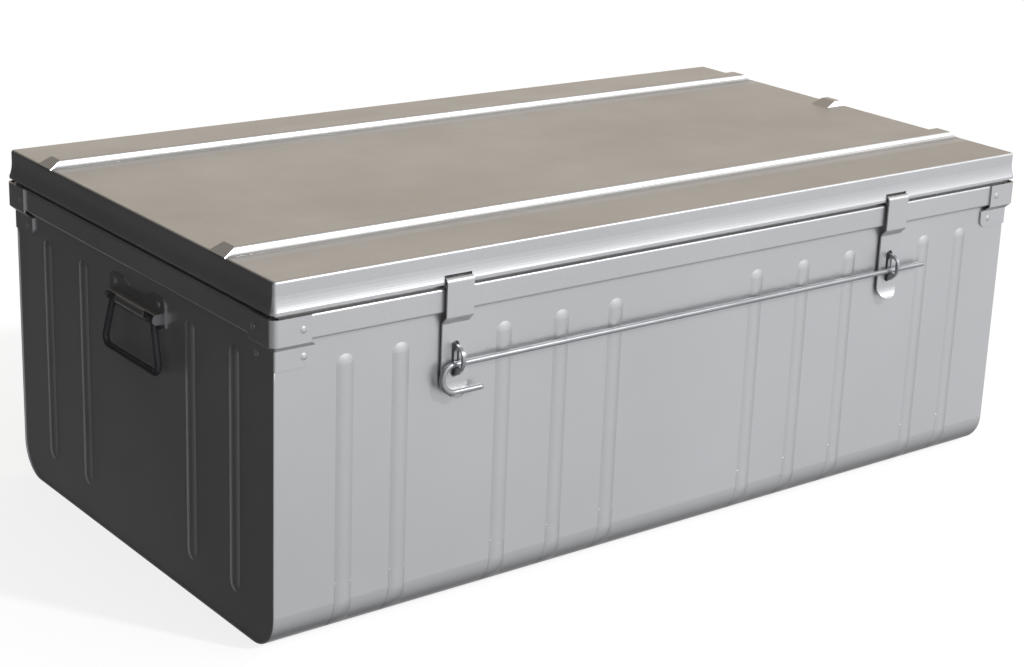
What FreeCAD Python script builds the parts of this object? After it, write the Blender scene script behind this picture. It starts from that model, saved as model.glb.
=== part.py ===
import FreeCAD, Part
import math
import os

from FreeCAD import Vector

# Sheet-steel storage trunk.  Millimetres, +Z up, the front faces -Y, and the
# origin is the middle of the underside.

# ---------------------------------------------------------------- driving dimensions
LID_LENGTH = 1000.0          # over the lid skirt, along X
LID_WIDTH = 548.0            # over the lid skirt, along Y
LID_TOP = 370.0              # flat of the lid above the ground
LID_BOTTOM = 339.0           # lower edge of the lid's lip
LIP_OUT = 3.0                # the lip stands this far out of the skirt
LIP_FLARE = ((0.0, 356.0), (0.3, 352.0), (0.8, 348.8), (1.4, 346.2), (2.15, 343.8), (3.0, 341.6))   # (out, height)
LIP_HOLLOW = ((0.0, 355.95), (0.3, 351.9), (0.8, 348.65), (1.4, 346.0), (2.15, 343.55), (3.0, 341.3))
LID_EDGE_RADIUS = 3.0
LID_CORNER_RADIUS = 3.5
SHEET = 1.2                  # lid, tub and rim sheet
WALL_INSET = 4.0             # tub wall inside the line of the lid skirt
TUB_BEND = 38.0              # outer radius where front and back turn into the bottom
WALL_TOP = 356.0             # the tub wall rises this far inside the lid
SEAM_FLANGE = 12.0           # end panel flange lapped inside the wrapper

RIM_TOP = 335.0
RIM_BOTTOM = 310.0
RIM_OUT = 6.0                # the rim stands this far out of the tub wall

WALL_RIB_HALF_WIDTH = 9.5
WALL_RIB_HEIGHT = 1.9
WALL_RIB_TOP = 288.0
WALL_RIB_BOTTOM = 38.0
FRONT_RIB_OFFSETS = (98.0, 168.0, 239.0, 360.0, 421.5)
END_RIB_OFFSETS = (113.0, 197.0)

LID_RIB_HEIGHT = 7.6
LID_RIB_BASE_HALF = 14.5
LID_RIB_TOP_HALF = 10.5
LID_RIB_CENTRES = (-173.0, 190.0)
LID_RIB_CHAMFER = 13.5       # how far the ends slope
LID_STUB_CENTRE = 18.0       # short pressed stub at the right end of the lid
LID_STUB_LENGTH = 32.0

BRACKET_SHEET = 2.0
BRACKET_UPPER_LEG = 42.0
BRACKET_LOWER_LEG = 43.5
BRACKET_STEP_TOP = 309.0
BRACKET_STEP_BOTTOM = 303.5
BRACKET_BOTTOM = 284.0
BRACKET_CORNER = 8.0
BRACKET_TAB_ROUND = 9.0

HASP_X = 300.0
HASP_WIDTH = 31.0
HASP_SHEET = 1.8
HASP_AXIS_Z = 340.75
HASP_RING_INNER = 2.7
HASP_STEP_TOP = 306.0
HASP_STEP_BOTTOM = 299.0
HASP_STEP_DEPTH = 7.0
HASP_ROUND_Z = 239.5         # centre of the rounded lower end
HASP_SCOOP_Z = 237.5         # below this the end curls outwards
HASP_SCOOP_RADIUS = 17.0
HASP_SLOT_WIDTH = 10.0
HASP_SLOT_TOP = 280.0
HASP_SLOT_BOTTOM = 243.5
LIP_SLOT_CLEARANCE = 0.5
LIP_SLOT_BOTTOM = 341.6
LIP_SLOT_TOP = 347.5

ROD_RADIUS = 3.0
ROD_Z = 257.5
ROD_Y = -278.0
ROD_RIGHT_END = 351.5
ROD_HOOK_X = -304.0
ROD_HOOK_RADIUS = 13.75
ROD_HOOK_LEAN = 4.0          # degrees that the hook leans off the hasp's tongue
ROD_TAIL_END = -273.0
LUG_SHEET = 3.5
LUG_OUTLINE = ((-270.0, 245.0), (-277.5, 245.0), (-285.4, 251.6),      # (Y, Z)
               (-291.2, 264.0), (-286.0, 274.4), (-278.0, 277.0), (-270.0, 277.0))
LUG_ROUND = (0.0, 10.0, 20.0, 13.0, 11.0, 20.0, 0.0)
LUG_HOLE_Y = (-286.2, -274.6)
LUG_HOLE_Z = (254.1, 272.0)
LUG_HOLE_ROUND = 3.6

HANDLE_Y = -8.0
HANDLE_AXIS_Z = 273.0
HANDLE_PLATE = 1.5
HANDLE_PLATE_HALF = 58.0
HANDLE_EAR_TOP = 295.0
HANDLE_DIP_TOP = 288.0
HANDLE_PLATE_BOTTOM = 262.0
HANDLE_LIP = 0.8             # how far the plate's lower edge turns out
CHANNEL_INNER = 4.0
CHANNEL_SHEET = 1.5
CHANNEL_HALF = 51.0
BAIL_WIRE = 7.0
BAIL_TOP_HALF = 42.0
BAIL_BOTTOM_HALF = 59.0
BAIL_DROP = 54.5
BAIL_LEAN = 3.0              # degrees off vertical when it hangs on the plate's lip

HINGE_XS = (-330.0, 0.0, 330.0)
HINGE_WIDTH = 60.0
HINGE_MIDDLE = 29.6          # length of the tub leaf's knuckle
HINGE_GAP = 0.4              # between knuckles, along the pin
HINGE_SHEET = 2.0
HINGE_AXIS_Y = 282.6
HINGE_AXIS_Z = 337.5
HINGE_KNUCKLE = 5.0
PIN_RADIUS = 2.5
PIN_CLEARANCE = 0.05
PIN_HEAD_RADIUS = 4.0
PIN_HEAD = 2.0

RIVET_SHANK = 2.0            # radius
RIVET_HEAD = 3.6             # radius
RIVET_HEAD_HEIGHT = 0.9
RIVET_TAIL = 3.0             # radius
RIVET_TAIL_HEIGHT = 1.0

# ---------------------------------------------------------------- worked out from them
WALL_X = LID_LENGTH / 2 - WALL_INSET
WALL_Y = LID_WIDTH / 2 - WALL_INSET
RIM_X = WALL_X + RIM_OUT
RIM_Y = WALL_Y + RIM_OUT
LIP_X = LID_LENGTH / 2 + LIP_OUT
LIP_Y = LID_WIDTH / 2 + LIP_OUT
HASP_AXIS_Y = -(LIP_Y - SHEET / 2)
HASP_RING_OUTER = HASP_RING_INNER + HASP_SHEET


# ---------------------------------------------------------------- plain helpers
def save(name, shape):
    """Write one node, as one solid or a group of separate solids."""
    for solid in shape.Solids:
        assert solid.isValid(), name
    shape.exportStep(os.path.join("parts", name + ".step"))
    print(name, len(shape.Solids), "solid(s)", round(shape.Volume / 1000.0, 2), "cm3")


def block(x, y, z):
    """Box from three (low, high) pairs."""
    size = (x[1] - x[0], y[1] - y[0], z[1] - z[0])
    return Part.makeBox(size[0], size[1], size[2], Vector(x[0], y[0], z[0]))


def bar(radius, start, end):
    """Round bar between two points."""
    return Part.makeCylinder(radius, (end - start).Length, start, end - start)


def mirrored(shape, axis):
    return shape.mirror(Vector(0, 0, 0), axis)


def rounded_wire(points, radii, place):
    """Closed outline through the points, each corner rounded by its radius."""
    count = len(points)
    starts = []
    ends = []
    edges = []
    for i in range(count):
        corner = place(*points[i])
        before = place(*points[i - 1]) - corner
        after = place(*points[(i + 1) % count]) - corner
        before.normalize()
        after.normalize()
        half = before.getAngle(after) / 2
        reach = radii[i] / math.tan(half) if radii[i] else 0.0
        starts.append(corner + before * reach)
        ends.append(corner + after * reach)
        if radii[i]:
            inward = before + after
            inward.normalize()
            middle = corner + inward * (radii[i] / math.sin(half) - radii[i])
            edges.append((i, Part.Arc(starts[i], middle, ends[i]).toShape()))
    outline = []
    arcs = dict(edges)
    for i in range(count):
        if i in arcs:
            outline.append(arcs[i])
        following = starts[(i + 1) % count]
        if (following - ends[i]).Length > 1e-6:
            outline.append(Part.LineSegment(ends[i], following).toShape())
    return Part.Wire(outline)


def prism(points, radii, place, along):
    """Solid pushed along a vector from a rounded outline."""
    return Part.Face(rounded_wire(points, radii, place)).extrude(along)


def across_x(x):
    """Places (y, z) outlines at one X."""
    return lambda y, z: Vector(x, y, z)


def across_y(y):
    """Places (x, z) outlines at one Y."""
    return lambda x, z: Vector(x, y, z)


def flat_at(z):
    """Places (x, y) outlines at one Z."""
    return lambda x, y: Vector(x, y, z)


def strip_outline(path, thickness, bend):
    """Outline of sheet bent along a path: its points and corner radii.

    The path is the sheet's middle line, and bend is the middle line's radius.
    """
    def side(distance):
        lines = []
        for (ax, ay), (bx, by) in zip(path, path[1:]):
            length = math.hypot(bx - ax, by - ay)
            nx = -(by - ay) / length * distance
            ny = (bx - ax) / length * distance
            lines.append(((ax + nx, ay + ny), (bx + nx, by + ny)))
        points = [lines[0][0]]
        for (a, b), (c, d) in zip(lines, lines[1:]):
            ux, uy = b[0] - a[0], b[1] - a[1]
            vx, vy = d[0] - c[0], d[1] - c[1]
            cross = ux * vy - uy * vx
            t = ((c[0] - a[0]) * vy - (c[1] - a[1]) * vx) / cross
            points.append((a[0] + ux * t, a[1] + uy * t))
        points.append(lines[-1][1])
        return points

    def radii(distance):
        found = [0.0]
        for a, b, c in zip(path, path[1:], path[2:]):
            turn = (b[0] - a[0]) * (c[1] - b[1]) - (b[1] - a[1]) * (c[0] - b[0])
            sign = 1.0 if turn > 0 else -1.0
            found.append(max(bend - sign * distance, 0.05))
        return found + [0.0]

    half = thickness / 2
    left, right = side(half), side(-half)
    left_radii, right_radii = radii(half), radii(-half)
    return left + right[::-1], left_radii + right_radii[::-1]


def round_wire_rod(path_edges, radius, start, direction):
    """Round bar swept along joined lines and arcs."""
    circle = Part.Wire(Part.Circle(start, direction, radius).toShape())
    path = Part.Wire(path_edges)
    return path.makePipeShell([circle], True, False)


def rivet(point, outward, grip):
    """Rivet with its domed head on the outside face at point."""
    dome = (RIVET_HEAD ** 2 + RIVET_HEAD_HEIGHT ** 2) / (2 * RIVET_HEAD_HEIGHT)
    lean = math.asin(RIVET_HEAD / dome) / 2
    middle = Vector(dome * math.sin(lean), 0, RIVET_HEAD_HEIGHT - dome * (1 - math.cos(lean)))
    top = Vector(0, 0, RIVET_HEAD_HEIGHT)
    rim = Vector(RIVET_HEAD, 0, 0)
    tail_end = -grip - RIVET_TAIL_HEIGHT
    corners = [rim, Vector(RIVET_SHANK, 0, 0), Vector(RIVET_SHANK, 0, -grip)]
    corners += [Vector(RIVET_TAIL, 0, -grip), Vector(RIVET_TAIL, 0, tail_end)]
    corners += [Vector(0, 0, tail_end), top]
    edges = [Part.LineSegment(a, b).toShape() for a, b in zip(corners, corners[1:])]
    edges.append(Part.Arc(top, middle, rim).toShape())
    solid = Part.Face(Part.Wire(edges)).revolve(Vector(0, 0, 0), Vector(0, 0, 1), 360)
    turn = FreeCAD.Rotation(Vector(0, 0, 1), outward)
    solid.Placement = FreeCAD.Placement(point, turn)
    return solid


def drilled(shape, spots, depth=12.0):
    """Shape with a rivet hole at each (point, outward) spot."""
    holes = []
    for point, outward in spots:
        holes.append(bar(RIVET_SHANK, point + outward * 4.0, point - outward * depth))
    return shape.cut(holes)


# ---------------------------------------------------------------- pressed wall ribs
def bead(radius, face_point, outward, bottom, top):
    """Upright round-ended cylinder whose cap stands out of a wall face."""
    crown = (WALL_RIB_HALF_WIDTH ** 2 + WALL_RIB_HEIGHT ** 2) / (2 * WALL_RIB_HEIGHT)
    centre = face_point - outward * (crown - WALL_RIB_HEIGHT)
    low = Vector(centre.x, centre.y, bottom + WALL_RIB_HALF_WIDTH)
    high = Vector(centre.x, centre.y, top - WALL_RIB_HALF_WIDTH)
    size = crown - (0.0 if radius else SHEET)
    body = bar(size, low, high)
    return body.fuse([Part.makeSphere(size, low), Part.makeSphere(size, high)])


def with_wall_ribs(sheet, face_points, outward):
    """Sheet with a hollow rib pressed outward at each point of its outer face."""
    hollows = [bead(0, point, outward, WALL_RIB_BOTTOM, WALL_RIB_TOP) for point in face_points]
    shells = []
    for point, hollow in zip(face_points, hollows):
        outer = bead(1, point, outward, WALL_RIB_BOTTOM, WALL_RIB_TOP)
        inside = point - outward * SHEET
        keep = block((-50, 50), (-50, 50), (0, WALL_TOP))
        keep.translate(Vector(inside.x, inside.y, 0) + outward * 50)
        shells.append(outer.common(keep).cut(hollow))
    return sheet.cut(hollows).fuse(shells).removeSplitter()


# ---------------------------------------------------------------- tub
def tub_section(inset, x0, x1, top):
    """U-section of the tub, filled, with its sides moved in by inset."""
    half = WALL_Y - inset
    bend = TUB_BEND - inset
    points = [(-half, top), (-half, inset), (half, inset), (half, top)]
    return prism(points, [0, bend, bend, 0], across_x(x0), Vector(x1 - x0, 0, 0))


def tub_wrapper():
    outer = tub_section(0.0, -WALL_X, WALL_X, WALL_TOP)
    inner = tub_section(SHEET, -WALL_X, WALL_X, WALL_TOP + 10)
    sheet = outer.cut(inner)
    offsets = [side * offset for offset in FRONT_RIB_OFFSETS for side in (-1, 1)]
    front = [Vector(x, -WALL_Y, 0) for x in offsets]
    back = [Vector(x, WALL_Y, 0) for x in offsets]
    sheet = with_wall_ribs(sheet, front, Vector(0, -1, 0))
    return with_wall_ribs(sheet, back, Vector(0, 1, 0))


def end_panel():
    """The left end: a ribbed plate with a flange lapped inside the wrapper."""
    outer = tub_section(SHEET, -WALL_X, -WALL_X + SEAM_FLANGE, WALL_TOP)
    inner = tub_section(2 * SHEET, -WALL_X + SHEET, -WALL_X + SEAM_FLANGE, WALL_TOP + 10)
    plate = outer.cut(inner)
    offsets = [side * offset for offset in END_RIB_OFFSETS for side in (-1, 1)]
    points = [Vector(-WALL_X, y, 0) for y in offsets]
    return with_wall_ribs(plate, points, Vector(-1, 0, 0))


def rim_strip(length):
    """Folded rim along X, out from a wall face at Y = 0 towards -Y."""
    half = SHEET / 2
    path = [(0, RIM_TOP - half), (-RIM_OUT + half, RIM_TOP - half)]
    path += [(-RIM_OUT + half, RIM_BOTTOM + half), (-RIM_OUT + 3.2, RIM_BOTTOM + half)]
    points, radii = strip_outline(path, SHEET, 2.2)
    return prism(points, radii, across_x(-length / 2), Vector(length, 0, 0))


def front_rim():
    strip = rim_strip(2 * (RIM_X - BRACKET_CORNER))
    strip.translate(Vector(0, -WALL_Y, 0))
    return strip


def left_rim():
    strip = rim_strip(2 * (RIM_Y - BRACKET_CORNER))
    strip.rotate(Vector(0, 0, 0), Vector(0, 0, 1), -90)
    strip.translate(Vector(-WALL_X, 0, 0))
    return strip


# ---------------------------------------------------------------- corner brackets
def corner_outline(inset, leg, radius, z):
    """L-shaped outline round the front left corner, its outer faces inset from the bracket."""
    x = -(RIM_X + BRACKET_SHEET - inset)
    y = -(RIM_Y + BRACKET_SHEET - inset)
    t = BRACKET_SHEET
    points = [(x, y), (x + leg, y), (x + leg, y + t)]
    points += [(x + t, y + t), (x + t, y + leg), (x, y + leg)]
    radii = [radius, 0, 0, radius - t, 0, 0]
    return rounded_wire(points, radii, flat_at(z))


def corner_bracket():
    """Pressed bracket over the rim at the front left corner, stepped in to the tub below it."""
    tight = BRACKET_SHEET + 0.2
    upper = Part.Face(corner_outline(0, BRACKET_UPPER_LEG, BRACKET_CORNER, BRACKET_STEP_TOP))
    upper = upper.extrude(Vector(0, 0, RIM_TOP - BRACKET_STEP_TOP))
    lower = Part.Face(corner_outline(RIM_OUT, BRACKET_LOWER_LEG, tight, BRACKET_BOTTOM))
    lower = lower.extrude(Vector(0, 0, BRACKET_STEP_BOTTOM - BRACKET_BOTTOM))
    sections = [corner_outline(0, BRACKET_UPPER_LEG, BRACKET_CORNER, BRACKET_STEP_TOP)]
    sections += [corner_outline(RIM_OUT, BRACKET_LOWER_LEG, tight, BRACKET_STEP_BOTTOM)]
    step = Part.makeLoft(sections, True, True)
    shape = upper.fuse([step, lower]).removeSplitter()
    end_x = -(WALL_X + BRACKET_SHEET) + BRACKET_LOWER_LEG
    end_y = -(WALL_Y + BRACKET_SHEET) + BRACKET_LOWER_LEG
    r = BRACKET_TAB_ROUND
    low = BRACKET_BOTTOM
    trim_x = block((end_x - r, end_x + 1), (-WALL_Y - 9, -WALL_Y + 9), (low - 1, low + r))
    keep_x = bar(r, Vector(end_x - r, -WALL_Y - 9, low + r), Vector(end_x - r, -WALL_Y + 9, low + r))
    trim_y = block((-WALL_X - 9, -WALL_X + 9), (end_y - r, end_y + 1), (low - 1, low + r))
    keep_y = bar(r, Vector(-WALL_X - 9, end_y - r, low + r), Vector(-WALL_X + 9, end_y - r, low + r))
    return shape.cut([trim_x.cut(keep_x), trim_y.cut(keep_y)])


def bracket_spots():
    """Rivet places of the front left bracket, as (point, outward, grip)."""
    front, left = Vector(0, -1, 0), Vector(-1, 0, 0)
    face_x, face_y = RIM_X + BRACKET_SHEET, RIM_Y + BRACKET_SHEET
    rim_grip = BRACKET_SHEET + SHEET
    wall_x, wall_y = WALL_X + BRACKET_SHEET, WALL_Y + BRACKET_SHEET
    spots = [(Vector(-face_x + 33, -face_y, 322), front, rim_grip)]
    spots += [(Vector(-face_x, -face_y + 33, 322), left, rim_grip)]
    spots += [(Vector(-wall_x + 31, -wall_y, 294), front, rim_grip)]
    spots += [(Vector(-wall_x, -wall_y + 31, 294), left, rim_grip)]
    return spots


def at_each_corner(shape):
    """The four copies of a shape modelled at the front left corner."""
    right = mirrored(shape, Vector(1, 0, 0))
    return {
        "front_left": shape,
        "front_right": right,
        "rear_left": mirrored(shape, Vector(0, 1, 0)),
        "rear_right": mirrored(right, Vector(0, 1, 0)),
    }


# ---------------------------------------------------------------- lid
def lid_section(grow, z):
    half_x = LID_LENGTH / 2 + grow
    half_y = LID_WIDTH / 2 + grow
    points = [(-half_x, -half_y), (half_x, -half_y), (half_x, half_y), (-half_x, half_y)]
    return rounded_wire(points, [LID_CORNER_RADIUS + grow] * 4, flat_at(z))


def edges_at_height(shape, z):
    def level(edge):
        return abs(edge.BoundBox.ZMin - z) < 1e-6 and abs(edge.BoundBox.ZMax - z) < 1e-6

    return [edge for edge in shape.Edges if level(edge)]


def lid_shell():
    sections = [(0, LID_TOP)] + list(LIP_FLARE) + [(LIP_OUT, LID_BOTTOM)]
    outer = Part.makeLoft([lid_section(grow, z) for grow, z in sections], True, True)
    outer = outer.makeFillet(LID_EDGE_RADIUS, edges_at_height(outer, LID_TOP))
    hollow = [(0, LID_TOP - SHEET)] + list(LIP_HOLLOW) + [(LIP_OUT, LID_BOTTOM - 1)]
    inner = Part.makeLoft([lid_section(grow - SHEET, z) for grow, z in hollow], True, True)
    inner = inner.makeFillet(LID_EDGE_RADIUS - SHEET, edges_at_height(inner, LID_TOP - SHEET))
    return outer.cut(inner)


def lid_rib(centre, inset, profile_x):
    """One lengthwise rib, solid; inset makes the hollow inside it."""
    rise, run = LID_RIB_HEIGHT, LID_RIB_BASE_HALF - LID_RIB_TOP_HALF
    slope = run / rise
    shift = inset * math.hypot(rise, run) / rise
    top = LID_TOP + LID_RIB_HEIGHT - inset
    foot = LID_TOP - (SHEET + 0.5 if inset else SHEET - 0.2)
    half_top = LID_RIB_TOP_HALF + inset * slope - shift
    half_foot = half_top + (top - foot) * slope
    points = [(centre - half_foot, foot), (centre + half_foot, foot)]
    points += [(centre + half_top, top), (centre - half_top, top)]
    bend = 3.5 - inset
    section = prism(points, [0, 0, bend, bend], across_x(-LID_LENGTH / 2), Vector(LID_LENGTH, 0, 0))
    profile = prism(profile_x, [0] * len(profile_x), across_y(centre - 30), Vector(0, 60, 0))
    return section.common(profile)


def full_rib_profile(inset):
    """Side view of a rib that runs the length of the lid with chamfered ends."""
    end = LID_LENGTH / 2 - inset * math.sqrt(2)
    top = LID_TOP + LID_RIB_HEIGHT
    low = LID_TOP - 4.0
    shoulder = LID_TOP
    return [(-end, low), (end, low), (end, shoulder), (end - LID_RIB_CHAMFER, top),
            (-end + LID_RIB_CHAMFER, top), (-end, shoulder)]


def stub_profile(inset):
    """Side view of the stub, which rises out of the lid towards its right end."""
    end = LID_LENGTH / 2 - inset * math.sqrt(2)
    start = LID_LENGTH / 2 - LID_STUB_LENGTH
    top = LID_TOP + LID_RIB_HEIGHT - 1.0 - inset
    low = LID_TOP - 4.0
    return [(start, low), (end, low), (end, LID_TOP - inset), (end - 7.0, top),
            (start + 16.0, top), (start + inset, LID_TOP - inset)]


def lid_pan():
    shell = lid_shell()
    outers = [lid_rib(y, 0.0, full_rib_profile(0.0)) for y in LID_RIB_CENTRES]
    inners = [lid_rib(y, SHEET, full_rib_profile(SHEET)) for y in LID_RIB_CENTRES]
    outers.append(lid_rib(LID_STUB_CENTRE, 0.0, stub_profile(0.0)))
    inners.append(lid_rib(LID_STUB_CENTRE, SHEET, stub_profile(SHEET)))
    slot_half = HASP_WIDTH / 2 + LIP_SLOT_CLEARANCE
    slots = []
    for x in (-HASP_X, HASP_X):
        slots.append(block((x - slot_half, x + slot_half), (-LIP_Y - 1, -LID_WIDTH / 2 + 3),
                           (LIP_SLOT_BOTTOM, LIP_SLOT_TOP)))
    pan = shell.fuse(outers).cut(inners)
    return pan.cut(slots).removeSplitter()


# ---------------------------------------------------------------- hasps, staples and rod
def hasp():
    """Strap looped round the lid's lip and hanging over the rim, centred on X = 0."""
    half = HASP_SHEET / 2
    y, z = HASP_AXIS_Y, HASP_AXIS_Z
    along = Vector(HASP_WIDTH, 0, 0)
    left = -HASP_WIDTH / 2
    ring = bar(HASP_RING_OUTER, Vector(left, y, z), Vector(-left, y, z))
    bore = bar(HASP_RING_INNER, Vector(left - 1, y, z), Vector(-left + 1, y, z))
    face = y - HASP_RING_INNER - half
    back = face + HASP_STEP_DEPTH
    scoop = HASP_SCOOP_RADIUS
    path = [(face, z), (face, HASP_STEP_TOP), (back, HASP_STEP_BOTTOM), (back, HASP_SCOOP_Z)]
    points, radii = strip_outline(path, HASP_SHEET, 3.0)
    strap = prism(points, radii, across_x(left), along)
    low = HASP_ROUND_Z - HASP_WIDTH / 2
    centre = Vector(left, back - scoop, HASP_SCOOP_Z)
    outer = Part.makeCylinder(scoop + half, HASP_WIDTH, centre, Vector(1, 0, 0))
    inner = Part.makeCylinder(scoop - half, HASP_WIDTH, centre, Vector(1, 0, 0))
    region = block((left, -left), (back - scoop, back + 2), (low - 1, HASP_SCOOP_Z))
    tongue = outer.cut(inner).common(region)
    round_end = bar(HASP_WIDTH / 2, Vector(0, -330, HASP_ROUND_Z), Vector(0, -250, HASP_ROUND_Z))
    keep = block((left, -left), (-330, -250), (HASP_ROUND_Z, z + 20)).fuse(round_end)
    slot_half = HASP_SLOT_WIDTH / 2
    outline = [(-slot_half, HASP_SLOT_BOTTOM), (slot_half, HASP_SLOT_BOTTOM)]
    outline += [(slot_half, HASP_SLOT_TOP), (-slot_half, HASP_SLOT_TOP)]
    slot = prism(outline, [slot_half * 0.98] * 4, across_y(back - 10), Vector(0, 20, 0))
    body = ring.fuse([strap, tongue]).cut([bore, slot])
    return body.common(keep).removeSplitter()


def staple():
    """Flat eye in the YZ plane, welded to the front of the tub, centred on X = 0."""
    along = Vector(LUG_SHEET, 0, 0)
    plate = prism(LUG_OUTLINE, LUG_ROUND, across_x(-LUG_SHEET / 2), along)
    front, back = LUG_HOLE_Y
    low, high = LUG_HOLE_Z
    outline = [(front, low), (back, low), (back, high), (front, high)]
    hole = prism(outline, [LUG_HOLE_ROUND] * 4, across_x(-LUG_SHEET / 2), along)
    return plate.cut(hole)


def locking_rod():
    """Straight rod through both staples, hooked back under itself at the left."""
    lean = math.radians(ROD_HOOK_LEAN)
    radius = ROD_HOOK_RADIUS

    def at(x, drop):
        return Vector(x, ROD_Y - drop * math.sin(lean), ROD_Z - drop * math.cos(lean))

    start, tail = at(ROD_RIGHT_END, 0), at(ROD_TAIL_END, 2 * radius)
    top, turn, bottom = at(ROD_HOOK_X, 0), at(ROD_HOOK_X - radius, radius), at(ROD_HOOK_X, 2 * radius)
    edges = [Part.LineSegment(start, top).toShape()]
    edges.append(Part.Arc(top, turn, bottom).toShape())
    edges.append(Part.LineSegment(bottom, tail).toShape())
    rod = round_wire_rod(edges, ROD_RADIUS, start, Vector(-1, 0, 0))
    tips = [Part.makeSphere(ROD_RADIUS, point) for point in (start, tail)]
    return rod.fuse(tips).removeSplitter()


# ---------------------------------------------------------------- end handles
HANDLE_AXIS_X = -(WALL_X + HANDLE_PLATE + CHANNEL_INNER + 0.2)


def handle_plate():
    """Left handle plate: eared top edge, pressed channel for the bail, turned-out lower lip."""
    half = HANDLE_PLATE_HALF
    outline = [(-half, HANDLE_PLATE_BOTTOM), (half, HANDLE_PLATE_BOTTOM), (half, HANDLE_EAR_TOP)]
    outline += [(30, HANDLE_EAR_TOP), (16, HANDLE_DIP_TOP), (-16, HANDLE_DIP_TOP)]
    outline += [(-30, HANDLE_EAR_TOP), (-half, HANDLE_EAR_TOP)]
    radii = [5, 5, 9, 8, 8, 8, 8, 9]
    plate = prism(outline, radii, across_x(-WALL_X), Vector(-HANDLE_PLATE, 0, 0))
    outer = CHANNEL_INNER + CHANNEL_SHEET
    end = CHANNEL_HALF
    axis = HANDLE_AXIS_X
    tube = bar(outer, Vector(axis, -end, HANDLE_AXIS_Z), Vector(axis, end, HANDLE_AXIS_Z))
    wall_side = -WALL_X - HANDLE_PLATE
    back = block((axis, wall_side), (-end, end), (HANDLE_AXIS_Z - outer, HANDLE_AXIS_Z + outer))
    room_end = end - CHANNEL_SHEET
    centre = [Vector(axis, side * room_end, HANDLE_AXIS_Z) for side in (-1, 1)]
    inner = bar(CHANNEL_INNER, *centre)
    heights = (HANDLE_AXIS_Z - CHANNEL_INNER, HANDLE_AXIS_Z + CHANNEL_INNER)
    room = block((axis, wall_side), (-room_end, room_end), heights)
    channel = tube.fuse(back).cut([inner, room])
    notches = []
    for side in (-1, 1):
        low, high = sorted((side * (BAIL_TOP_HALF - 12), side * room_end))
        lift = HANDLE_AXIS_Z + CHANNEL_INNER + 0.6
        notches.append(block((axis - 9, wall_side), (low, high), (HANDLE_AXIS_Z - 9, lift)))
    channel = channel.cut(notches)
    lip_heights = (HANDLE_PLATE_BOTTOM, HANDLE_PLATE_BOTTOM + HANDLE_PLATE)
    lip = block((wall_side - HANDLE_LIP, wall_side), (-half + 6, half - 6), lip_heights)
    shape = plate.fuse([channel, lip]).removeSplitter()
    shape.translate(Vector(0, HANDLE_Y, 0))
    return shape


def handle_spots():
    """Rivet places of the left handle plate, as (point, outward)."""
    face = -WALL_X - HANDLE_PLATE
    return [(Vector(face, HANDLE_Y + side * 45.0, 287.0), Vector(-1, 0, 0)) for side in (-1, 1)]


def bail():
    """Closed trapezoid of round wire, hung by its short side in the left handle plate."""
    lean = math.radians(BAIL_LEAN)
    corners = [(-BAIL_TOP_HALF, 0.0), (BAIL_TOP_HALF, 0.0)]
    corners += [(BAIL_BOTTOM_HALF, BAIL_DROP), (-BAIL_BOTTOM_HALF, BAIL_DROP)]

    def place(y, drop):
        x = HANDLE_AXIS_X - drop * math.sin(lean)
        return Vector(x, HANDLE_Y + y, HANDLE_AXIS_Z - drop * math.cos(lean))

    loop = rounded_wire(corners, [6.0, 6.0, 9.0, 9.0], place)
    start = loop.OrderedEdges[0]
    point = start.valueAt(start.FirstParameter)
    tangent = start.tangentAt(start.FirstParameter)
    circle = Part.Wire(Part.Circle(point, tangent, BAIL_WIRE / 2).toShape())
    return loop.makePipeShell([circle], True, False)


# ---------------------------------------------------------------- hinges
def hinge_ring(x0, x1):
    centre = Vector(0, HINGE_AXIS_Y, HINGE_AXIS_Z)
    return bar(HINGE_KNUCKLE, centre + Vector(x0, 0, 0), centre + Vector(x1, 0, 0))


def hinge_bore():
    centre = Vector(0, HINGE_AXIS_Y, HINGE_AXIS_Z)
    reach = Vector(HINGE_WIDTH, 0, 0)
    return bar(PIN_RADIUS + PIN_CLEARANCE, centre - reach, centre + reach)


def tub_leaf():
    """Leaf riveted to the rim, with the middle knuckle."""
    half, middle = HINGE_WIDTH / 2, HINGE_MIDDLE / 2
    heights = (RIM_BOTTOM + 1, HINGE_AXIS_Z - HINGE_KNUCKLE - 1)
    plate = block((-half, half), (RIM_Y, RIM_Y + HINGE_SHEET), heights)
    web_points = [(RIM_Y, 325), (RIM_Y + HINGE_SHEET, 325), (HINGE_AXIS_Y + 2, HINGE_AXIS_Z - 4.4)]
    web_points += [(HINGE_AXIS_Y, HINGE_AXIS_Z), (RIM_Y + 1.4, HINGE_AXIS_Z - 1.2)]
    web_points += [(RIM_Y, RIM_TOP - 1.5)]
    web = prism(web_points, [0] * 6, across_x(-middle), Vector(HINGE_MIDDLE, 0, 0))
    leaf = plate.fuse([web, hinge_ring(-middle, middle)])
    return leaf.cut(hinge_bore()).removeSplitter()


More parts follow.
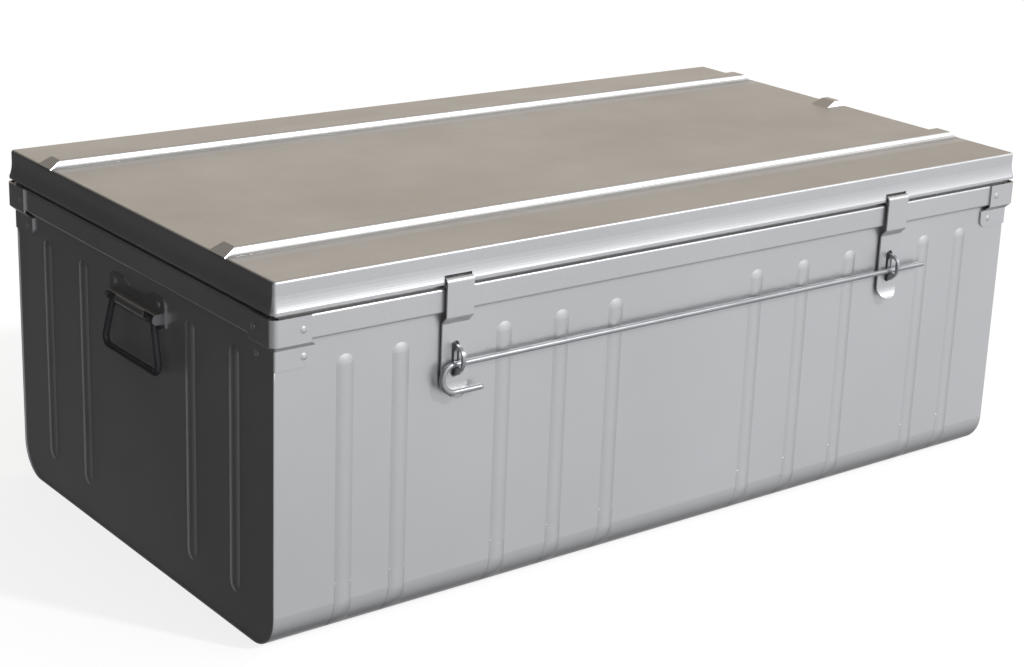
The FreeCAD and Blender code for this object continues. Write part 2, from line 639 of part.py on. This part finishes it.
def lid_leaf():
    """Leaf riveted to the lid's back skirt, cranked over its lip, with the outer knuckles."""
    half = HINGE_WIDTH / 2
    t = HINGE_SHEET / 2
    skirt, lip = LID_WIDTH / 2, LIP_Y + 0.3
    path = [(skirt + t, LID_TOP - 5), (skirt + t, 356.5)]
    path += [(lip + t, 347.0), (lip + t, HINGE_AXIS_Z + 0.5)]
    points, radii = strip_outline(path, HINGE_SHEET, 2.2)
    plate = prism(points, radii, across_x(-half), Vector(HINGE_WIDTH, 0, 0))
    gap = HINGE_MIDDLE / 2 + HINGE_GAP
    heights = (HINGE_AXIS_Z - 9, HINGE_AXIS_Z + HINGE_KNUCKLE + 0.6)
    notch = block((-gap, gap), (lip - 1, HINGE_AXIS_Y + 9), heights)
    rings = [hinge_ring(-half, -gap), hinge_ring(gap, half)]
    return plate.fuse(rings).cut([notch, hinge_bore()]).removeSplitter()


def hinge_pin():
    centre = Vector(0, HINGE_AXIS_Y, HINGE_AXIS_Z)
    reach = Vector(HINGE_WIDTH / 2 + 0.3, 0, 0)
    head = Vector(PIN_HEAD, 0, 0)
    pin = bar(PIN_RADIUS, centre - reach, centre + reach)
    heads = [bar(PIN_HEAD_RADIUS, centre + reach, centre + reach + head)]
    heads.append(bar(PIN_HEAD_RADIUS, centre - reach, centre - reach - head))
    return pin.fuse(heads).removeSplitter()


def hinge_spots(x, y, z):
    return [(Vector(x + dx, y, z), Vector(0, 1, 0)) for dx in (-20.0, 0.0, 20.0)]


# ---------------------------------------------------------------- put it together
def riveted(spots, grip):
    return [rivet(point, outward, grip) for point, outward in spots]


def flip(spots, axis):
    """Rivet places mirrored through the middle plane that is square to the axis."""
    def turned(vector):
        return vector - axis * (2 * vector.dot(axis))

    return [(turned(point), turned(outward)) for point, outward in spots]


def main():
    os.makedirs("parts", exist_ok=True)
    x_axis, y_axis = Vector(1, 0, 0), Vector(0, 1, 0)

    bracket_rivets = []
    corner_spots = []
    for point, outward, grip in bracket_spots():
        spots = [(point, outward)]
        spots += flip(spots, x_axis)
        spots += flip(spots, y_axis)
        corner_spots += spots
        bracket_rivets += riveted(spots, grip)
    left_handle = handle_spots()
    right_handle = flip(left_handle, x_axis)
    tub_hinges = [spot for x in HINGE_XS for spot in hinge_spots(x, RIM_Y + HINGE_SHEET, 320.0)]
    lid_hinges = [spot for x in HINGE_XS for spot in hinge_spots(x, LID_WIDTH / 2 + HINGE_SHEET, 361.0)]

    save("tub_wrapper", drilled(tub_wrapper(), corner_spots))
    left_end = end_panel()
    save("end_panel_left", drilled(left_end, corner_spots + left_handle))
    save("end_panel_right", drilled(mirrored(left_end, x_axis), corner_spots + right_handle))
    front, left = front_rim(), left_rim()
    save("rim_front", drilled(front, corner_spots))
    save("rim_rear", drilled(mirrored(front, y_axis), corner_spots + tub_hinges))
    save("rim_left", drilled(left, corner_spots))
    save("rim_right", drilled(mirrored(left, x_axis), corner_spots))
    for place, shape in at_each_corner(corner_bracket()).items():
        save("corner_bracket_" + place, drilled(shape, corner_spots))
    save("bracket_rivets", Part.makeCompound(bracket_rivets))

    plate, handle = handle_plate(), bail()
    save("handle_plate_left", drilled(plate, left_handle))
    save("handle_plate_right", drilled(mirrored(plate, x_axis), right_handle))
    save("handle_bail_left", handle)
    save("handle_bail_right", mirrored(handle, x_axis))
    save("handle_rivets", Part.makeCompound(riveted(left_handle + right_handle, HANDLE_PLATE + SHEET)))

    for name, x in (("left", -HASP_X), ("right", HASP_X)):
        for node, shape in (("hasp", hasp()), ("staple", staple())):
            shape.translate(Vector(x, 0, 0))
            save(node + "_" + name, shape)
    save("locking_rod", locking_rod())

    save("lid_pan", drilled(lid_pan(), lid_hinges, 6.0))
    for name, x in zip(("left", "middle", "right"), HINGE_XS):
        for node, shape in (("hinge_tub_leaf", tub_leaf()), ("hinge_lid_leaf", lid_leaf())):
            shape.translate(Vector(x, 0, 0))
            save(node + "_" + name, drilled(shape, tub_hinges + lid_hinges))
        pin = hinge_pin()
        pin.translate(Vector(x, 0, 0))
        save("hinge_pin_" + name, pin)
    save("hinge_tub_rivets", Part.makeCompound(riveted(tub_hinges, HINGE_SHEET + SHEET)))
    save("hinge_lid_rivets", Part.makeCompound(riveted(lid_hinges, HINGE_SHEET + SHEET)))


main()
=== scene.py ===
import math
from random import Random

import bmesh
import bpy
from mathutils import Matrix, Vector


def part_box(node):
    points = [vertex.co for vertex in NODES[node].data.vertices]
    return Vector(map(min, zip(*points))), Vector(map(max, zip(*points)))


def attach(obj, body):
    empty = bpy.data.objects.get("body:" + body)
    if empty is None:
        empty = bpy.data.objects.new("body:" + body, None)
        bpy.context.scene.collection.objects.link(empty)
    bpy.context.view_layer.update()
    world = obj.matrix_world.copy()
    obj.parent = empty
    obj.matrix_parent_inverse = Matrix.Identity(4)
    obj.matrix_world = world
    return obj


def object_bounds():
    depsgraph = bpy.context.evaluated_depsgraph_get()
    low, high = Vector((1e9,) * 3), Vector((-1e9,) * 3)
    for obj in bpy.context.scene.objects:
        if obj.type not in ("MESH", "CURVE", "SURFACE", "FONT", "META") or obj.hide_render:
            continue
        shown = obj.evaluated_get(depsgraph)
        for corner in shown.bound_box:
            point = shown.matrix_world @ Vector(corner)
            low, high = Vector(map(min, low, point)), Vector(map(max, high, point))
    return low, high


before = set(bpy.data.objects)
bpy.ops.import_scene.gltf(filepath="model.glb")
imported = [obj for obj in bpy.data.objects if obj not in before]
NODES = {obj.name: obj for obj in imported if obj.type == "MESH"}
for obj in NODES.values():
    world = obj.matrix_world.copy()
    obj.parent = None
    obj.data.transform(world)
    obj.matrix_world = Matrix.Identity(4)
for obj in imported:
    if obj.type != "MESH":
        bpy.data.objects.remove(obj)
cad_low, cad_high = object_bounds()

# All lengths are in metres and all angles in radians, unless a name says otherwise.
TUB_LOW, TUB_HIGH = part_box("tub_wrapper")
HALF_LENGTH, HALF_WIDTH, LID_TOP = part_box("lid_pan")[1]

# lid
LID_RIB = 0.0076             # how far the lid's ribs stand up
LID_RIB_RUN = 0.004          # how far a rib's flank leans in over that height
LID_FACE = LID_TOP - LID_RIB
RIB_CENTRES = (-0.173, 0.190)
RIB_FOOT = 0.0145            # from a rib's middle line to its foot
RIB_END_INSET = 0.006        # the feet stop this far from the lid's ends
FOOT_RADIUS = 0.005          # hollow curve at the foot of a rib
FOOT_TURN = math.atan2(LID_RIB, LID_RIB_RUN)
FOOT_FADE = 0.007            # each foot tapers away over this length at its ends
FOOT_LEAST = 0.06            # and keeps this part of its size there
FOOT_BURIED = (-0.0015, -0.0004)     # corner of the foot under the lid's face (across, up)
FOOT_LIFT = 0.00003          # keeps the foot's curve clear of the lid's face
FOOT_CURVE_STEPS = 8
FOOT_FADE_STEPS = 8
FOOT_LONG_STEPS = 40

# tub
WALL_RIB_HEIGHT = 0.0019
WALL_RIB_HALF = 0.0095
WALL_RIBS = (0.098, 0.168, 0.239, 0.360, 0.4215)
WALL_FACE = TUB_LOW[1] + WALL_RIB_HEIGHT     # Y of the front wall's flat
BEND = 0.038                 # outer radius between a long wall and the bottom
TAIL_TOP = 0.058             # the tails begin on the full ribs at this height
TAIL_TURN = 0.95             # and follow the bottom bend through this angle
TAIL_MARGIN = 0.0008         # how far a tail's edge reaches past the rib, under the wall's face
TAIL_DEPTH = 0.0007          # how deep the tail's closed back lies in the wall
TAIL_LIFT = 0.00006          # keeps a tail clear of the rib that it covers
TAIL_SINK = 0.00018          # lowers the tail's top end, so that it comes up out of the rib
TAIL_SINK_STEPS = 6
TAIL_STEPS = 48
TAIL_HALF_STEPS = 8          # steps across, from the rib's middle to either edge
HEM_SIZE = 0.0010            # radius of the rolled edge of the wrapper
HEM_TOP = 0.290
HEM_OUT = 0.0002             # how far the hem's middle lies past the wrapper's end
HEM_STRAIGHT_STEPS = 12
HEM_BEND_STEPS = 14
WELD_SIZE = 0.0011
WELD_TRIM = 0.001            # the weld stops this far from the foot's top and bottom
WELD_STEPS = 60
WELD_HALF_WAVES = 22
WELD_RIPPLE = 0.16
WELD_UNEVEN = 0.05
WELD_TAPER = 6.0             # the weld grows to its full size over 1 / this of its length
WELD_LEAST = 0.12
ROUND_SIDES = 12
ROUND = [2 * math.pi * j / ROUND_SIDES for j in range(ROUND_SIDES)]

# paint
SILVER = 0.60
# painted shade: a darker tone of the same silver paint, for the handle plates
SHADED_SILVER = 0.40
CLOUD_LIGHT = (1.04, 1.04, 1.05)
CLOUD_DARK = (0.95, 0.955, 0.96)
PAINT_METALLIC = 0.85
DUST = (0.44, 0.425, 0.40, 1)
BARE_STEEL = (0.66, 0.66, 0.67, 1)
# painted shade: dark colour for the crease at the foot of each lid rib
PAINTED_CREASE_SHADE = (0.30, 0.29, 0.275, 1)
CREASE_SHADE_REACH = 0.003          # half the width of the painted crease shade line beside a lid rib
CREASE_SHADE_HEIGHT = 0.002
REFLECTION_BAND_FROM = (RIB_FOOT + 0.002, RIB_FOOT + 0.007)    # ahead of a lid rib's middle line, dust thins out here, which paints a lighter band as painted reflection of the rib's flank
REFLECTION_BAND_TO = (RIB_FOOT + 0.012, RIB_FOOT + 0.022)      # and comes back here
WEAR_REACH = 0.012           # edges are rubbed this far in
WEAR_REACH_TOP = 0.010
ZINC_DARK = (0.34, 0.35, 0.36, 1)
ZINC_LIGHT = (0.46, 0.47, 0.48, 1)
ZINC_BLOOM = (0.27, 0.28, 0.29, 1)
ZINC_METALLIC = 0.85
ENAMEL_DARK = (0.040, 0.041, 0.045, 1)
ENAMEL_LIGHT = (0.070, 0.071, 0.075, 1)
ENAMEL_WORN = (0.22, 0.22, 0.22, 1)
ENAMEL_METALLIC = 0.3

# camera
CAMERA_SENSOR_MM = 36.0
CAMERA_LENS_MM = 73.44
CAMERA_SHIFT = (-0.0779, -0.0375)
CAMERA_REACH = 100.0
CAMERA_PLACE = (-1.4068, -1.8021, 0.9342)
CAMERA_RIGHT = (0.77713, -0.62755, 0.04741)
CAMERA_UP = (0.15644, 0.26560, 0.95131)
CAMERA_BACK = (-0.60959, -0.73187, 0.30458)

# floor and light
FLOOR_SIZE = 80.0
FLOOR_COLOUR = (0.30, 0.30, 0.30, 1)
FLOOR_ROUGHNESS = 0.9
FLOOR_GLOW_COLOUR = (1, 1, 1, 1)
FLOOR_GLOW = 0.80
KEY_FROM = (0.42, -0.70, 0.57)
KEY_STRENGTH = 1.5
KEY_ANGLE_DEGREES = 4.0
BACKDROP = (0.88, 0.88, 0.88, 1)
WORLD_BASE = (0.024, 0.024, 0.025, 1)
WORLD_GLOWS = [              # (towards, (cosine where it starts, cosine where it is full), colour)
    ((0.32, -0.94, -0.10), (0.02, 0.78), (0.50, 0.505, 0.52)),
    ((0.55, -0.65, 0.50), (0.35, 0.95), (0.47, 0.48, 0.49)),
    ((-0.30, -0.95, -0.10), (0.50, 1.0), (0.08, 0.08, 0.08)),
    ((0.70, 0.65, 0.30), (0.40, 0.97), (0.64, 0.565, 0.475)),
    ((0.45, 0.80, -0.40), (0.66, 0.98), (0.52, 0.52, 0.53)),
    ((-1.0, -0.10, -0.18), (0.85, 1.0), (0.38, 0.38, 0.38)),
    ((-0.15, 0.0, 1.0), (0.72, 1.0), (0.30, 0.30, 0.31)),
]


# ---------------------------------------------------------------- node helpers
class Tree:
    """Short calls for building one node tree."""

    def __init__(self, node_tree):
        self.nodes = node_tree.nodes
        self.links = node_tree.links

    def add(self, kind, **settings):
        node = self.nodes.new(kind)
        for key, value in settings.items():
            setattr(node, key, value)
        return node

    def put(self, value, socket):
        """Sets a socket from a number, a colour, a vector or another node's output."""
        if isinstance(value, bpy.types.NodeSocket):
            self.links.new(value, socket)
        else:
            socket.default_value = value

    def spread(self, value, low, high, to_low=0.0, to_high=1.0, curve="LINEAR"):
        """Maps low..high onto to_low..to_high, clamped."""
        node = self.add("ShaderNodeMapRange", interpolation_type=curve)
        self.put(value, node.inputs["Value"])
        node.inputs["From Min"].default_value = low
        node.inputs["From Max"].default_value = high
        node.inputs["To Min"].default_value = to_low
        node.inputs["To Max"].default_value = to_high
        return node.outputs["Result"]

    def sums(self, operation, a, b=0.0):
        node = self.add("ShaderNodeMath", operation=operation)
        self.put(a, node.inputs[0])
        self.put(b, node.inputs[1])
        return node.outputs[0]

    def product(self, a, b):
        return self.sums("MULTIPLY", a, b)

    def most(self, values):
        """The largest of several values."""
        result = values[0]
        for value in values[1:]:
            result = self.sums("MAXIMUM", result, value)
        return result

    def blend(self, amount, a, b, kind="MIX"):
        node = self.add("ShaderNodeMix", data_type="RGBA", blend_type=kind)
        for value, socket in zip((amount, a, b), (node.inputs[0], node.inputs[6], node.inputs[7])):
            self.put(value, socket)
        return node.outputs[2]


class Surface(Tree):
    """One material, with patterns that are placed on the trunk in metres."""

    def __init__(self, name):
        self.material = bpy.data.materials.new(name)
        self.material.use_nodes = True
        super().__init__(self.material.node_tree)
        self.nodes.clear()
        shader = self.add("ShaderNodeBsdfPrincipled")
        self.inputs = shader.inputs
        output = self.add("ShaderNodeOutputMaterial")
        self.put(shader.outputs["BSDF"], output.inputs["Surface"])
        self.place = self.add("ShaderNodeTexCoord").outputs["Object"]
        self.normal = self.add("ShaderNodeNewGeometry").outputs["Normal"]

    def noise(self, scale, detail, roughness=0.5, stretch=None):
        node = self.add("ShaderNodeTexNoise")
        node.inputs["Scale"].default_value = scale
        node.inputs["Detail"].default_value = detail
        node.inputs["Roughness"].default_value = roughness
        place = self.place
        if stretch:
            mapping = self.add("ShaderNodeMapping")
            mapping.inputs["Scale"].default_value = stretch
            self.put(place, mapping.inputs["Vector"])
            place = mapping.outputs["Vector"]
        self.put(place, node.inputs["Vector"])
        return node.outputs["Fac"]

    def part(self, axis, vector):
        """One component of a vector."""
        node = self.add("ShaderNodeSeparateXYZ")
        self.put(vector, node.inputs[0])
        return node.outputs[axis]

    def past(self, axis, at):
        """How far the place is past a coordinate."""
        return self.sums("SUBTRACT", self.part(axis, self.place), at)

    def near_zero(self, value, reach):
        """1 where the value is 0, down to 0 where it is reach away."""
        return self.spread(self.sums("ABSOLUTE", value), 0.0, reach, to_low=1.0, to_high=0.0)

    def near(self, axis, at, reach):
        """1 on the two planes where the coordinate is +at or -at, down to 0 at reach from them."""
        size = self.sums("ABSOLUTE", self.part(axis, self.place))
        return self.near_zero(self.sums("SUBTRACT", size, at), reach)

    def rib_feet(self):
        """1 along the feet of the lid's lengthwise ribs, fading out to both sides: where shade in the crease
        is painted.
        """
        lines = []
        for centre in RIB_CENTRES:
            across = self.sums("ABSOLUTE", self.past("Y", centre))
            away = self.sums("SUBTRACT", across, RIB_FOOT + CREASE_SHADE_REACH)
            lines.append(self.near_zero(away, CREASE_SHADE_REACH))
        return self.product(self.most(lines), self.near_zero(self.past("Z", LID_FACE), CREASE_SHADE_HEIGHT))

    def reflection_strips(self):
        """1 along the lid just in front of each lengthwise rib, where the dust is left out so that a lighter
        band shows: painted reflection of the rib's bright flank.
        """
        strips = []
        for centre in RIB_CENTRES:
            ahead = self.sums("SUBTRACT", centre, self.part("Y", self.place))
            rising = self.spread(ahead, *REFLECTION_BAND_FROM)
            falling = self.spread(ahead, *REFLECTION_BAND_TO, to_low=1.0, to_high=0.0)
            strips.append(self.product(rising, falling))
        return self.most(strips)

    def edge_wear(self):
        """Strongest where two of the trunk's outer planes meet."""
        ends = self.near("X", HALF_LENGTH, WEAR_REACH)
        sides = self.near("Y", HALF_WIDTH, WEAR_REACH)
        top = self.near("Z", LID_FACE, WEAR_REACH_TOP)
        return self.most([self.product(a, b) for a, b in ((ends, sides), (sides, top), (top, ends))])

    def bump(self, height, distance, strength):
        node = self.add("ShaderNodeBump")
        node.inputs["Distance"].default_value = distance
        node.inputs["Strength"].default_value = strength
        self.put(height, node.inputs["Height"])
        self.put(node.outputs["Normal"], self.inputs["Normal"])


# ---------------------------------------------------------------- materials
def silver_paint(name, tone):
    """Sprayed aluminium paint on steel sheet: flake, orange peel, clouds, dust and rubbed edges, with painted
    shade in the creases at the lid ribs' feet and a painted reflection band ahead of each lid rib.
    """
    t = Surface(name)
    clouds = t.noise(scale=2.6, detail=4.0, roughness=0.55)
    flake = t.noise(scale=1400.0, detail=2.0, roughness=0.6)
    dark, light = [(*(tone * part for part in tint), 1) for tint in (CLOUD_DARK, CLOUD_LIGHT)]
    colour = t.blend(t.spread(clouds, 0.3, 0.7), dark, light)
    colour = t.blend(1.0, colour, t.spread(flake, 0.35, 0.65, to_low=0.95, to_high=1.05), "MULTIPLY")

    facing_up = t.spread(t.part("Z", t.normal), 0.75, 0.98)
    dust = t.spread(t.noise(scale=7.0, detail=5.0, roughness=0.6), 0.25, 0.8, to_low=0.35, to_high=1.0)
    # painted reflection: no dust in a band ahead of each lid rib, so that the band shows lighter
    dust = t.product(dust, t.sums("SUBTRACT", 1.0, t.reflection_strips()))
    colour = t.blend(t.product(facing_up, dust), colour, DUST)

    # painted shade: a darker, patchy line in the crease at the foot of each lid rib
    crease_shade_patches = t.spread(t.noise(scale=40.0, detail=4.0, roughness=0.6), 0.2, 0.8, to_low=0.10, to_high=0.40)
    colour = t.blend(t.product(t.rib_feet(), crease_shade_patches), colour, PAINTED_CREASE_SHADE)

    rubbed = t.product(t.edge_wear(), t.spread(t.noise(scale=55.0, detail=6.0, roughness=0.7), 0.56, 0.66))
    colour = t.blend(rubbed, colour, BARE_STEEL)
    t.put(colour, t.inputs["Base Color"])
    t.put(t.spread(rubbed, 0.0, 1.0, to_low=PAINT_METALLIC, to_high=1.0), t.inputs["Metallic"])

    scratches = t.noise(scale=30.0, detail=5.0, roughness=0.7, stretch=(0.25, 1.0, 1.0))
    scuffs = t.spread(scratches, 0.55, 0.75, to_low=0.0, to_high=-0.06)
    rough = t.spread(clouds, 0.3, 0.7, to_low=0.36, to_high=0.42)
    t.put(t.sums("ADD", rough, scuffs), t.inputs["Roughness"])

    peel = t.product(t.noise(scale=230.0, detail=2.0), 0.05)
    waves = t.product(t.noise(scale=5.0, detail=1.0, roughness=0.4), 0.7)
    t.bump(t.sums("ADD", peel, waves), distance=0.001, strength=0.7)
    return t.material


def galvanised_wire(name):
    """Zinc-coated drawn rod: faint lines along it and grey blooms."""
    t = Surface(name)
    drawn = t.noise(scale=160.0, detail=3.0, roughness=0.6, stretch=(0.06, 1.0, 1.0))
    bloom = t.noise(scale=45.0, detail=4.0, roughness=0.6)
    colour = t.blend(t.spread(drawn, 0.3, 0.7), ZINC_DARK, ZINC_LIGHT)
    colour = t.blend(t.spread(bloom, 0.5, 0.75, to_low=0.0, to_high=0.5), colour, ZINC_BLOOM)
    t.put(colour, t.inputs["Base Color"])
    t.put(ZINC_METALLIC, t.inputs["Metallic"])
    t.put(t.spread(bloom, 0.3, 0.7, to_low=0.27, to_high=0.40), t.inputs["Roughness"])
    t.bump(drawn, distance=0.0002, strength=0.3)
    return t.material


def dark_coating(name):
    """Dark semi-gloss enamel with fine pitting and worn high spots."""
    t = Surface(name)
    mottle = t.noise(scale=60.0, detail=3.0, roughness=0.6)
    colour = t.blend(t.spread(mottle, 0.3, 0.7), ENAMEL_DARK, ENAMEL_LIGHT)
    worn = t.spread(t.noise(scale=140.0, detail=5.0, roughness=0.7), 0.66, 0.74)
    colour = t.blend(worn, colour, ENAMEL_WORN)
    t.put(colour, t.inputs["Base Color"])
    t.put(ENAMEL_METALLIC, t.inputs["Metallic"])
    t.put(t.spread(mottle, 0.3, 0.7, to_low=0.32, to_high=0.48), t.inputs["Roughness"])
    t.bump(t.noise(scale=500.0, detail=2.0), distance=0.0002, strength=0.35)
    return t.material


def dress(names, material):
    for name in names:
        mesh = NODES[name].data
        mesh.materials.clear()
        mesh.materials.append(material)


def starting(*prefixes):
    return [name for name in sorted(NODES) if name.startswith(prefixes)]


# ---------------------------------------------------------------- pieces made here
def swept(name, rings, body, material):
    """A closed skin through rings of points, smooth along its length and flat at its ends."""
    mesh = bmesh.new()
    loops = [[mesh.verts.new(point) for point in ring] for ring in rings]
    count = len(rings[0])
    for a, b in zip(loops, loops[1:]):
        for j in range(count):
            following = (j + 1) % count
            mesh.faces.new((a[j], a[following], b[following], b[j]))
    mesh.faces.new(loops[0][::-1])
    mesh.faces.new(loops[-1])
    bmesh.ops.recalc_face_normals(mesh, faces=mesh.faces)
    data = bpy.data.meshes.new(name)
    mesh.to_mesh(data)
    mesh.free()
    for face in data.polygons:
        face.use_smooth = len(face.vertices) == 4
    data.materials.append(material)
    piece = bpy.data.objects.new(name, data)
    bpy.context.scene.collection.objects.link(piece)
    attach(piece, body)


def weld_rings(name, x, z_low, z_high):
    """A rippled bead that runs up one side of a staple's foot."""
    random = Random(name)
    rings = []
    for i in range(WELD_STEPS + 1):
        along = i / WELD_STEPS
        wave = math.sin(along * math.pi * WELD_HALF_WAVES)
        ripple = 1.0 + WELD_RIPPLE * wave + random.uniform(-WELD_UNEVEN, WELD_UNEVEN)
        taper = math.sqrt(min(1.0, WELD_TAPER * along, WELD_TAPER * (1.0 - along)))
        size = WELD_SIZE * max(WELD_LEAST, ripple * taper)
        z = z_low + (z_high - z_low) * along
        rings.append([(x + size * math.cos(turn), WALL_FACE + size * math.sin(turn), z) for turn in ROUND])
    return rings


def hem_path():
    """(Y, Z, direction of the outside) down the front, along the bottom and up the back."""
    path = []
    for i in range(HEM_STRAIGHT_STEPS):
        path.append((WALL_FACE + HEM_SIZE, HEM_TOP - (HEM_TOP - BEND) * i / HEM_STRAIGHT_STEPS, math.pi))
    reach = BEND - HEM_SIZE
    for i in range(HEM_BEND_STEPS + 1):
        turn = math.pi + math.pi / 2 * i / HEM_BEND_STEPS
        path.append((WALL_FACE + BEND + reach * math.cos(turn), BEND + reach * math.sin(turn), turn))
    back = [(-y, z, 3 * math.pi - turn) for y, z, turn in reversed(path)]
    return path + back


def hem_rings(x):
    """The wrapper's rolled edge round one end of the tub."""
    rings = []
    for y, z, out in hem_path():
        ring = []
        for turn in ROUND:
            off = HEM_SIZE * math.cos(turn)
            ring.append((x + HEM_SIZE * math.sin(turn), y + off * math.cos(out), z + off * math.sin(out)))
        rings.append(ring)
    return rings


def rib_foot_rings(centre, side):
    """The hollow curve that blends one flank of a lid rib into the flat of the lid."""
    reach = FOOT_RADIUS * math.tan(FOOT_TURN / 2)
    section = [FOOT_BURIED]
    for i in range(FOOT_CURVE_STEPS + 1):
        turn = FOOT_TURN * i / FOOT_CURVE_STEPS
        section.append((reach - FOOT_RADIUS * math.sin(turn), FOOT_RADIUS * (1 - math.cos(turn)) + FOOT_LIFT))
    end = HALF_LENGTH - RIB_END_INSET
    fade = [end - FOOT_FADE * i / FOOT_FADE_STEPS for i in range(FOOT_FADE_STEPS)]
    whole = end - FOOT_FADE
    places = [-x for x in fade]
    places += [-whole + 2 * whole * i / FOOT_LONG_STEPS for i in range(FOOT_LONG_STEPS + 1)]
    places += reversed(fade)
    rings = []
    for x in places:
        full = min(1.0, (end - abs(x)) / FOOT_FADE)
        size = FOOT_LEAST + (1 - FOOT_LEAST) * math.sin(full * math.pi / 2)
        ring = []
        for across, up in section:
            ring.append((x, centre + side * (RIB_FOOT + across * size), LID_FACE + up * size))
        rings.append(ring)
    return rings


def rib_tail_rings(x, side):
    """The lower end of a wall rib, which runs into the bottom bend and fades out."""
    straight = TAIL_TOP - BEND
    length = straight + BEND * TAIL_TURN
    rings = []
    for i in range(TAIL_STEPS + 1):
        run = length * i / TAIL_STEPS
        turn = max(0.0, (run - straight) / BEND)
        out_y, out_z = side * math.cos(turn), -math.sin(turn)
        y = side * (-WALL_FACE - BEND) + BEND * out_y
        z = BEND + BEND * out_z + max(0.0, straight - run)
        fade = 0.5 + 0.5 * math.cos(math.pi * turn / TAIL_TURN)
        lift = TAIL_LIFT - TAIL_SINK * max(0.0, 1 - i / TAIL_SINK_STEPS)
        ring = []
        for j in range(2 * TAIL_HALF_STEPS + 1):
            across = (WALL_RIB_HALF + TAIL_MARGIN) * (j / TAIL_HALF_STEPS - 1)
            rise = (WALL_RIB_HEIGHT * fade + lift) * (1 - (across / WALL_RIB_HALF) ** 2)
            ring.append((x + across, y + rise * out_y, z + rise * out_z))
        for across in (WALL_RIB_HALF, -WALL_RIB_HALF):
            ring.append((x + across, y - TAIL_DEPTH * out_y, z - TAIL_DEPTH * out_z))
        rings.append(ring)
    return rings


def add_pieces(material):
    for side in ("left", "right"):
        foot_low, foot_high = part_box("staple_" + side)
        z_low, z_high = foot_low[2] + WELD_TRIM, foot_high[2] - WELD_TRIM
        for edge, x in (("inner", foot_low[0]), ("outer", foot_high[0])):
            name = "staple_weld_%s_%s" % (side, edge)
            swept(name, weld_rings(name, x, z_low, z_high), "tub", material)
    ribs = sorted([-x for x in WALL_RIBS] + list(WALL_RIBS))
    for place, side in (("front", -1), ("rear", 1)):
        for i, x in enumerate(ribs):
            swept("wall_rib_tail_%s_%d" % (place, i + 1), rib_tail_rings(x, side), "tub", material)
    for side, x in (("left", TUB_LOW[0] - HEM_OUT), ("right", TUB_HIGH[0] + HEM_OUT)):
        swept("wrapper_hem_" + side, hem_rings(x), "tub", material)
    for place, centre in zip(("front", "rear"), RIB_CENTRES):
        for flank, side in (("front", -1), ("rear", 1)):
            swept("lid_rib_foot_%s_%s" % (place, flank), rib_foot_rings(centre, side), "lid", material)


# ---------------------------------------------------------------- camera, floor and light
def add_camera():
    data = bpy.data.cameras.new("camera")
    data.sensor_width = CAMERA_SENSOR_MM
    data.lens = CAMERA_LENS_MM
    data.shift_x, data.shift_y = CAMERA_SHIFT
    data.clip_end = CAMERA_REACH
    camera = bpy.data.objects.new("camera", data)
    turn = Matrix((CAMERA_RIGHT, CAMERA_UP, CAMERA_BACK)).transposed().to_4x4()
    camera.matrix_world = Matrix.Translation(CAMERA_PLACE) @ turn
    bpy.context.scene.collection.objects.link(camera)
    bpy.context.scene.camera = camera


def add_floor():
    """Pale studio floor that glows, so the trunk's shadow on it stays faint. It lights nothing itself."""
    bpy.ops.mesh.primitive_plane_add(size=FLOOR_SIZE, location=(0, 0, cad_low[2]))
    floor = bpy.context.object
    floor.name = "floor"
    t = Surface("pale floor")
    t.put(FLOOR_COLOUR, t.inputs["Base Color"])
    t.put(FLOOR_ROUGHNESS, t.inputs["Roughness"])
    t.put(0.0, t.inputs["Specular IOR Level"])
    t.put(FLOOR_GLOW_COLOUR, t.inputs["Emission Color"])
    t.put(FLOOR_GLOW, t.inputs["Emission Strength"])
    floor.data.materials.append(t.material)
    floor.visible_diffuse = False
    floor.visible_glossy = False


def add_world():
    """Broad soft glows on a dark surround. The camera itself sees a pale backdrop."""
    world = bpy.data.worlds.new("studio")
    bpy.context.scene.world = world
    world.use_nodes = True
    t = Tree(world.node_tree)
    direction = t.add("ShaderNodeTexCoord").outputs["Generated"]
    light = WORLD_BASE
    for towards, (starts, full), colour in WORLD_GLOWS:
        cosine = t.add("ShaderNodeVectorMath", operation="DOT_PRODUCT")
        t.put(direction, cosine.inputs[0])
        t.put(Vector(towards).normalized(), cosine.inputs[1])
        strength = t.spread(cosine.outputs["Value"], starts, full, curve="SMOOTHSTEP")
        light = t.blend(strength, light, (*colour, 1), "ADD")
    seen = t.add("ShaderNodeLightPath").outputs["Is Camera Ray"]
    background = t.nodes["Background"]
    t.put(t.blend(seen, light, BACKDROP), background.inputs["Color"])
    t.put(1.0, background.inputs["Strength"])


def add_key_light():
    data = bpy.data.lights.new("key", "SUN")
    data.energy = KEY_STRENGTH
    data.angle = math.radians(KEY_ANGLE_DEGREES)
    lamp = bpy.data.objects.new("key", data)
    lamp.rotation_euler = Vector(KEY_FROM).normalized().to_track_quat("Z", "Y").to_euler()
    bpy.context.scene.collection.objects.link(lamp)


paint = silver_paint("silver paint", SILVER)
dress(sorted(NODES), paint)
dress(starting("staple", "locking_rod"), galvanised_wire("galvanised wire"))
# painted shade: the handle plates get a darker copy of the silver paint
dress(starting("handle_plate"), silver_paint("shaded handle paint", SHADED_SILVER))
dress(starting("handle_bail"), dark_coating("dark coating"))
add_pieces(paint)

bpy.context.scene.view_settings.view_transform = "Standard"
add_camera()
add_floor()
add_world()
add_key_light()
